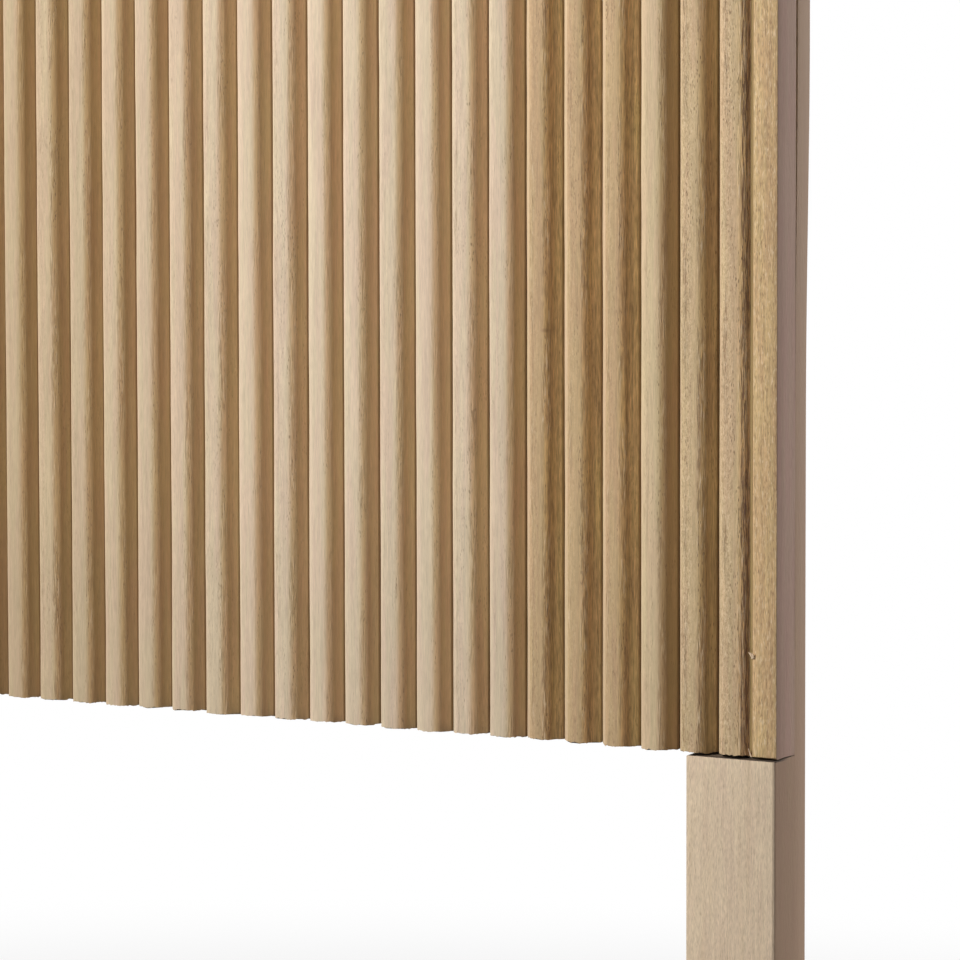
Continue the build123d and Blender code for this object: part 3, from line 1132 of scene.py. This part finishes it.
def slat_colour(number):
    """The wood colour of one slat, with a little chance in how light it is."""
    lightness = random.uniform(*LIGHTNESS_RANGE)
    if number in RIGHT_SLATS:
        tone, _ = RIGHT_SLATS[number]
    else:
        share = max(random.uniform(0.0, CHANCE_PALENESS), paleness(number))
        tone = [a + (b - a) * share for a, b in zip(HONEY, PALE)]
    return opaque(tone, lightness)


def slat_surface(number):
    """The surface of one slat, with chance in how coarse it is and in the painted light on its flank."""
    if number in RIGHT_SLATS:
        _, surface = RIGHT_SLATS[number]
        return surface
    coarseness = random.uniform(0.0, COARSEST)
    chance = random.uniform(-FLANK_LIGHT_CHANCE, FLANK_LIGHT_CHANCE)
    return dict(
        coarseness=coarseness,
        edge_highlight=USUAL_EDGE_HIGHLIGHT,
        flank_contrast=FLANK_CONTRAST + coarseness * COARSE_FLANK_CONTRAST,
        flank_light=HONEY_FLANK_LIGHT + PALE_FLANK_GAIN * paleness(number) + chance,
        valley_glow=USUAL_GLOW,
    )


def dress_slat(piece, node, number, material):
    """Stores what the slats' finish reads, and dresses the piece."""
    fill_attribute(piece, "wood_tone", "FLOAT_COLOR", slat_colour(number))
    for name, value in slat_surface(number).items():
        fill_attribute(piece, name, "FLOAT", value)
    fill_attribute(piece, "torn", "FLOAT", float(number == TORN_SLAT))
    dress(piece, node, material)


def place_slat(blank, blank_x, node, number):
    """Copies the blank to a slat's place, tilts it a little, and gives some slats their own section."""
    low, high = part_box(node)
    centre_x = (low.x + high.x) / 2
    piece = copy_piece(blank, f"{node}_wood")
    edit(piece)
    shift(low.x - blank_x)
    turn(random.uniform(-SLAT_TILT, SLAT_TILT), "Z", (centre_x, high.y, low.z))
    leave_edit()
    if number in BROWN_SLATS:
        narrow_top(piece, centre_x, low.y)
    if number == TORN_SLAT:
        fill_ledge(piece, centre_x, low.y + LEDGE_DEPTH)
    return piece


def make_slats(material):
    """Makes all slats from one blank, each with its own uneven ends and surface."""
    first_low, first_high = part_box("slat_01")
    blank = slat_blank(first_low, first_high, first_low.y + SLAT_RISE)
    waver = clouds("sanding_waver", WAVER_SIZE)
    ripple = clouds("grain_ripple", RIPPLE_SIZE)
    saw = clouds("saw_marks", SLAT_SAW_MARKS)
    grain_frame = bpy.data.objects.new("grain_frame", None)
    grain_frame.scale = (1.0, 1.0, GRAIN_STRETCH)
    bpy.context.collection.objects.link(grain_frame)
    bpy.context.view_layer.update()
    for number in range(1, SLAT_COUNT + 1):
        node = f"slat_{number:02d}"
        low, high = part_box(node)
        piece = place_slat(blank, first_low.x, node, number)
        ragged_end(piece, low.z, saw)
        drop_end(piece, low.z, random.uniform(0.0, END_UNEVENNESS))
        uneven(piece, waver, SLAT_WAVER, grain_frame)
        uneven(piece, ripple, SLAT_RIPPLE, grain_frame)
        if number == TORN_SLAT:
            lift_splinters(piece, Vector((high.x, low.y + LEDGE_DEPTH, low.z)), LEDGE_SPLINTERS)
        smooth(piece)
        dress_slat(piece, node, number, material)
    bpy.data.objects.remove(blank)
    bpy.data.objects.remove(grain_frame)


# Strips


def rabbeted_strip(node, normal, step, outward):
    """A front slab that is cut at a step along its normal. The part past the step, on its outward
    side (1 or -1), is drawn back beside the backing board, which leaves the rabbet. The piece stays
    in edit mode."""
    low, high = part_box(node)
    board_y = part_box("backing_board")[0].y
    piece = box_piece(f"{node}_wood", low, (high.x, board_y, high.z))
    edit(piece)
    cut(normal * step, normal)
    pick("FACE", lambda face: (
        looks_toward(face, REAR) and outward * (face.calc_center_median().dot(normal) - step) > 0.0
    ))
    extrude((0.0, high.y - board_y, 0.0))
    return piece


def mitre(side, clear_above):
    """Cuts along the diagonal where the cap meets an end strip, and clears what lies above or below."""
    slope = math.sqrt(0.5)
    away = 1.0 if clear_above else -1.0
    corner = (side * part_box("end_strip_right")[0].x, 0.0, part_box("top_cap")[0].z)
    cut(corner, (-side * away * slope, 0.0, away * slope), clear=True)


def ease_front(node):
    """Eases a strip's front edges."""
    front_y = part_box(node)[0].y
    ease(STRIP_EASE, STRIP_EASE_STEPS, lambda edge: lies_at(edge, "Y", front_y))


def make_end_strip(side_name, side, material, saw, waver):
    node = f"end_strip_{side_name}"
    low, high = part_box(node)
    inner_x = low.x if side > 0 else high.x
    piece = rabbeted_strip(node, RIGHT, inner_x + side * RABBET, side)
    mitre(side, clear_above=True)
    ease_front(node)
    add_rings(STRIP_RINGS)
    level_cut(low.z + END_ZONE)
    leave_edit()
    ragged_end(piece, low.z, saw)
    drop_end(piece, low.z, STRIP_OVERHANG)
    apply_modifier(piece, "DISPLACE", texture=waver, texture_coords="LOCAL", strength=STRIP_WAVER)
    if side > 0:
        lift_splinters(piece, low, STRIP_SPLINTERS)
    smooth(piece)
    dress(piece, node, material)


def make_cap(material):
    piece = rabbeted_strip("top_cap", UP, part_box("top_cap")[0].z + RABBET, 1.0)
    for side in (1.0, -1.0):
        mitre(side, clear_above=False)
    ease_front("top_cap")
    leave_edit()
    smooth(piece)
    dress(piece, "top_cap", material)


def make_strips(material, cap_material):
    waver = clouds("strip_waver", STRIP_WAVER_SIZE)
    saw = clouds("strip_saw_marks", STRIP_SAW_MARKS)
    make_end_strip("right", 1.0, material, saw, waver)
    make_end_strip("left", -1.0, material, saw, waver)
    make_cap(cap_material)


# Legs


def round_cutter(diameter, x, y0, y1, z):
    """A cylinder that lies along Y, from y0 to y1."""
    start_piece()
    bpy.ops.mesh.primitive_cylinder_add(
        vertices=CUTTER_SIDES, radius=diameter / 2, depth=y1 - y0,
        location=(x, (y0 + y1) / 2, z), rotation=(math.pi / 2, 0.0, 0.0),
    )
    return settle("cutter")


def slot_cutter(x, y0, y1, z):
    """A round cutter whose two halves are drawn apart along Z."""
    cutter = round_cutter(SLOT_WIDTH, x, y0, y1, z)
    edit(cutter)
    level_cut(z)
    for way in (1.0, -1.0):
        pick("VERT", lambda vertex: way * (vertex.co.z - z) > TOLERANCE)
        shift(z=way * (SLOT_LENGTH - SLOT_WIDTH) / 2)
    leave_edit()
    return cutter


def carve(piece, cutter):
    apply_modifier(piece, "BOOLEAN", object=cutter, operation="DIFFERENCE", solver="EXACT")
    bpy.data.objects.remove(cutter)


def leg_post(name, low, high, panel_back):
    """A post up to the shoulder, with the lap drawn up from its rear part. It stays in edit mode."""
    piece = box_piece(name, low, (high.x, high.y, SHOULDER))
    edit(piece)
    cut(REAR * panel_back, REAR)
    pick("FACE", lambda face: looks_toward(face, UP) and face.calc_center_median().y > panel_back)
    extrude((0.0, 0.0, high.z - SHOULDER))
    pick("VERT", lambda vertex: near(vertex.co.z, SHOULDER) and near(vertex.co.y, panel_back))
    shift(z=SHOULDER_RISE)
    add_rings(LAP_RINGS)
    return piece


def on_shoulder(edge):
    """True for an edge of the slightly sloping shoulder face."""
    return all(-TOLERANCE < vertex.co.z - SHOULDER < SHOULDER_RISE + TOLERANCE for vertex in edge.verts)


def ease_leg(low, high, inner_x):
    """Chamfers the foot, and eases the front, the shoulder and the lap."""
    ease(FOOT_CHAMFER, CHAMFER_STEPS, lambda edge: lies_at(edge, "Z", low.z))
    ease(LEG_EASE, LEG_EASE_STEPS, lambda edge: (
        (upright(edge) and lies_at(edge, "Y", low.y))
        or (on_shoulder(edge) and lies_at(edge, "X", inner_x))
    ))
    ease(SHOULDER_EASE, SMALL_EASE_STEPS, lambda edge: (
        on_shoulder(edge) and not upright(edge) and lies_at(edge, "Y", low.y)
    ))
    ease(LAP_EASE, SMALL_EASE_STEPS, lambda edge: (
        (upright(edge) and lies_at(edge, "Y", high.y)) or lies_at(edge, "Z", high.z)
    ))


def drill_leg(piece, low, high, panel_back):
    """Cuts the slots for the bed, and the counterbores and holes for the lap's bolts."""
    x = (low.x + high.x) / 2
    for z in SLOT_HEIGHTS:
        carve(piece, slot_cutter(x, low.y - OVERCUT, high.y + OVERCUT, z))
    for z in BOLT_HEIGHTS:
        carve(piece, round_cutter(COUNTERBORE_D, x, high.y - COUNTERBORE_DEPTH, high.y + OVERCUT, z))
        carve(piece, round_cutter(BOLT_HOLE_D, x, panel_back - OVERCUT, high.y, z))


def bow_share(z):
    """How far the lap has bowed at a height, from 0 to 1."""
    share = (z - BOW_LOW) / (BOW_HIGH - BOW_LOW)
    if not 0.0 < share < 1.0:
        return 0.0
    return math.sin(math.pi * share) ** 2


def bow_lap(piece, bow, panel_back, lap_back):
    """Bows the lap to the rear between its bolts, its rear face more than its front."""
    for vertex in piece.data.vertices:
        depth = (vertex.co.y - panel_back) / (lap_back - panel_back)
        vertex.co.y += bow * bow_share(vertex.co.z) * (BOW_FRONT + (BOW_REAR - BOW_FRONT) * depth)


def make_leg(side, bow, material):
    """A post with a shoulder and a rear lap, drilled for its bolts and slotted for the bed."""
    node = f"leg_{side}"
    low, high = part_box(node)
    panel_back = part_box("backing_board")[1].y
    piece = leg_post(f"{node}_wood", low, high, panel_back)
    ease_leg(low, high, low.x if side == "right" else high.x)
    leave_edit()
    drill_leg(piece, low, high, panel_back)
    bow_lap(piece, bow, panel_back, high.y)
    smooth(piece)
    dress(piece, node, material)


# Floor, light and camera


def make_floor():
    """A pale floor that keeps the shadow and turns white to the camera away from the headboard."""
    start_piece()
    bpy.ops.mesh.primitive_circle_add(vertices=FLOOR_SIDES, radius=FLOOR_RADIUS, fill_type="NGON")
    floor = settle("studio_floor")
    finish = Finish("pale_floor")
    path = finish.nodes.new("ShaderNodeLightPath")
    seen = Signal(finish, path.outputs["Is Camera Ray"])
    mirrored = Signal(finish, path.outputs["Is Glossy Ray"])
    shade = finish.mix(seen, opaque(FLOOR_GREY), opaque(FLOOR_SEEN_GREY))
    finish.feed(finish.shader.inputs["Base Color"], shade)
    finish.shader.inputs["Roughness"].default_value = FLOOR_ROUGHNESS
    white = finish.nodes.new("ShaderNodeEmission")
    white.inputs["Color"].default_value = opaque(WHITE)
    far = finish.spot((0.0, 0.0, 0.0), (1.0, 1.0, 1.0)).ramp(*FLOOR_FADE)
    mix = finish.nodes.new("ShaderNodeMixShader")
    finish.feed(mix.inputs[0], (seen + mirrored) * far)
    finish.links.new(finish.shader.outputs[0], mix.inputs[1])
    finish.links.new(white.outputs[0], mix.inputs[2])
    finish.links.new(mix.outputs[0], finish.nodes["Material Output"].inputs["Surface"])
    floor.data.materials.append(finish.material)


def make_world():
    """White behind the object to the camera and in reflections, a dim even room to the rest."""
    world = bpy.data.worlds.new("studio_room")
    bpy.context.scene.world = world
    world.use_nodes = True
    nodes, links = world.node_tree.nodes, world.node_tree.links
    room = nodes["Background"]
    room.inputs["Color"].default_value = opaque(ROOM_TINT)
    room.inputs["Strength"].default_value = ROOM_LIGHT
    backdrop = nodes.new("ShaderNodeBackground")
    backdrop.inputs["Color"].default_value = opaque(WHITE)
    backdrop.inputs["Strength"].default_value = 1.0
    path = nodes.new("ShaderNodeLightPath")
    seen = path.outputs["Is Camera Ray"]
    for ray in ("Is Glossy Ray", "Is Transmission Ray"):
        either = nodes.new("ShaderNodeMath")
        either.operation = "MAXIMUM"
        links.new(seen, either.inputs[0])
        links.new(path.outputs[ray], either.inputs[1])
        seen = either.outputs[0]
    mix = nodes.new("ShaderNodeMixShader")
    links.new(seen, mix.inputs[0])
    links.new(room.outputs[0], mix.inputs[1])
    links.new(backdrop.outputs[0], mix.inputs[2])
    links.new(mix.outputs[0], nodes["World Output"].inputs["Surface"])


def lamp_direction(azimuth, height):
    """Azimuth 0 stands in front of the headboard and 90 degrees to its right."""
    level = math.cos(height)
    return Vector((math.sin(azimuth) * level, -math.cos(azimuth) * level, math.sin(height)))


def hang_lamp(name, light, direction):
    """Hangs a lamp in a direction from the key's target, and points it there."""
    lamp = bpy.data.objects.new(name, light)
    bpy.context.collection.objects.link(lamp)
    lamp.rotation_mode = "QUATERNION"
    lamp.rotation_quaternion = direction.to_track_quat("Z", "Y")
    lamp.location = KEY_TARGET + direction * KEY_DISTANCE


def make_key_lamp():
    light = bpy.data.lights.new("key_lamp", "AREA")
    light.shape = "DISK"
    light.size = KEY_SIZE
    light.energy = KEY_POWER
    light.color = KEY_TINT
    hang_lamp("key_lamp", light, lamp_direction(KEY_AZIMUTH, KEY_HEIGHT))


def make_sun_lamp(name, strength, azimuth, tint):
    light = bpy.data.lights.new(name, "SUN")
    light.energy = strength
    light.angle = SUN_SOFTNESS
    light.color = tint
    hang_lamp(name, light, lamp_direction(azimuth, SUN_HEIGHT))


def make_camera():
    """The photograph's camera: yaw turns it to the left, pitch tips it down, roll turns its frame."""
    camera_data = bpy.data.cameras.new("photo_camera")
    camera = bpy.data.objects.new("photo_camera", camera_data)
    bpy.context.collection.objects.link(camera)
    camera_data.sensor_width = SENSOR
    camera_data.lens = CAMERA_LENS
    camera_data.shift_y = FRAME_SHIFT
    camera_data.clip_start = NEAREST_SEEN
    camera_data.clip_end = FARTHEST_SEEN
    yaw, pitch = CAMERA_YAW, CAMERA_PITCH
    forward = Vector((
        -math.sin(yaw) * math.cos(pitch), math.cos(yaw) * math.cos(pitch), -math.sin(pitch)
    ))
    level = Vector((math.cos(yaw), math.sin(yaw), 0.0))
    lift = level.cross(forward)
    right = level * math.cos(CAMERA_ROLL) + lift * math.sin(CAMERA_ROLL)
    up = lift * math.cos(CAMERA_ROLL) - level * math.sin(CAMERA_ROLL)
    attitude = Matrix((right, up, -forward)).transposed()
    camera.matrix_world = Matrix.Translation(CAMERA_PLACE) @ attitude.to_4x4()
    bpy.context.scene.camera = camera


make_slats(slat_finish())
strip_wood = frame_finish(
    "ochre_strip_wood", STRIP_INNER, STRIP_OUTER, STRIP_SIDE,
    contrast=2.3, fleck_amount=0.55, tinting=1.0, length=0.8,
)
make_strips(strip_wood, cap_finish())
leg_wood = frame_finish(
    "beige_leg_wood", LEG_FACE, LEG_FACE, LEG_SIDE,
    contrast=1.4, fleck_amount=0.22, tinting=0.4, length=0.55,
)
make_leg("right", RIGHT_BOW, leg_wood)
make_leg("left", LEFT_BOW, leg_wood)
zinc_plate = fitting_finish("zinc_plate", ZINC, roughness=0.36, metallic=1.0)
insert_alloy = fitting_finish("insert_alloy", INSERT_ALLOY, roughness=0.38, metallic=1.0)
moulded_glide = fitting_finish("moulded_glide", GLIDE_BLACK, roughness=0.5, metallic=0.0)
refinish(plywood_finish(), "backing_board")
refinish(rail_finish(), "back_rail_top", "back_rail_middle", "back_rail_bottom")
refinish(zinc_plate, "leg_bolts", "leg_washers")
refinish(insert_alloy, "threaded_inserts")
refinish(moulded_glide, "foot_glide_left", "foot_glide_right")
make_floor()
make_world()
make_key_lamp()
make_sun_lamp("side_lamp", SIDE_STRENGTH, SIDE_AZIMUTH, SIDE_TINT)
make_sun_lamp("rear_lamp", REAR_STRENGTH, REAR_AZIMUTH, REAR_TINT)
make_camera()
bpy.context.scene.view_settings.view_transform = "Standard"
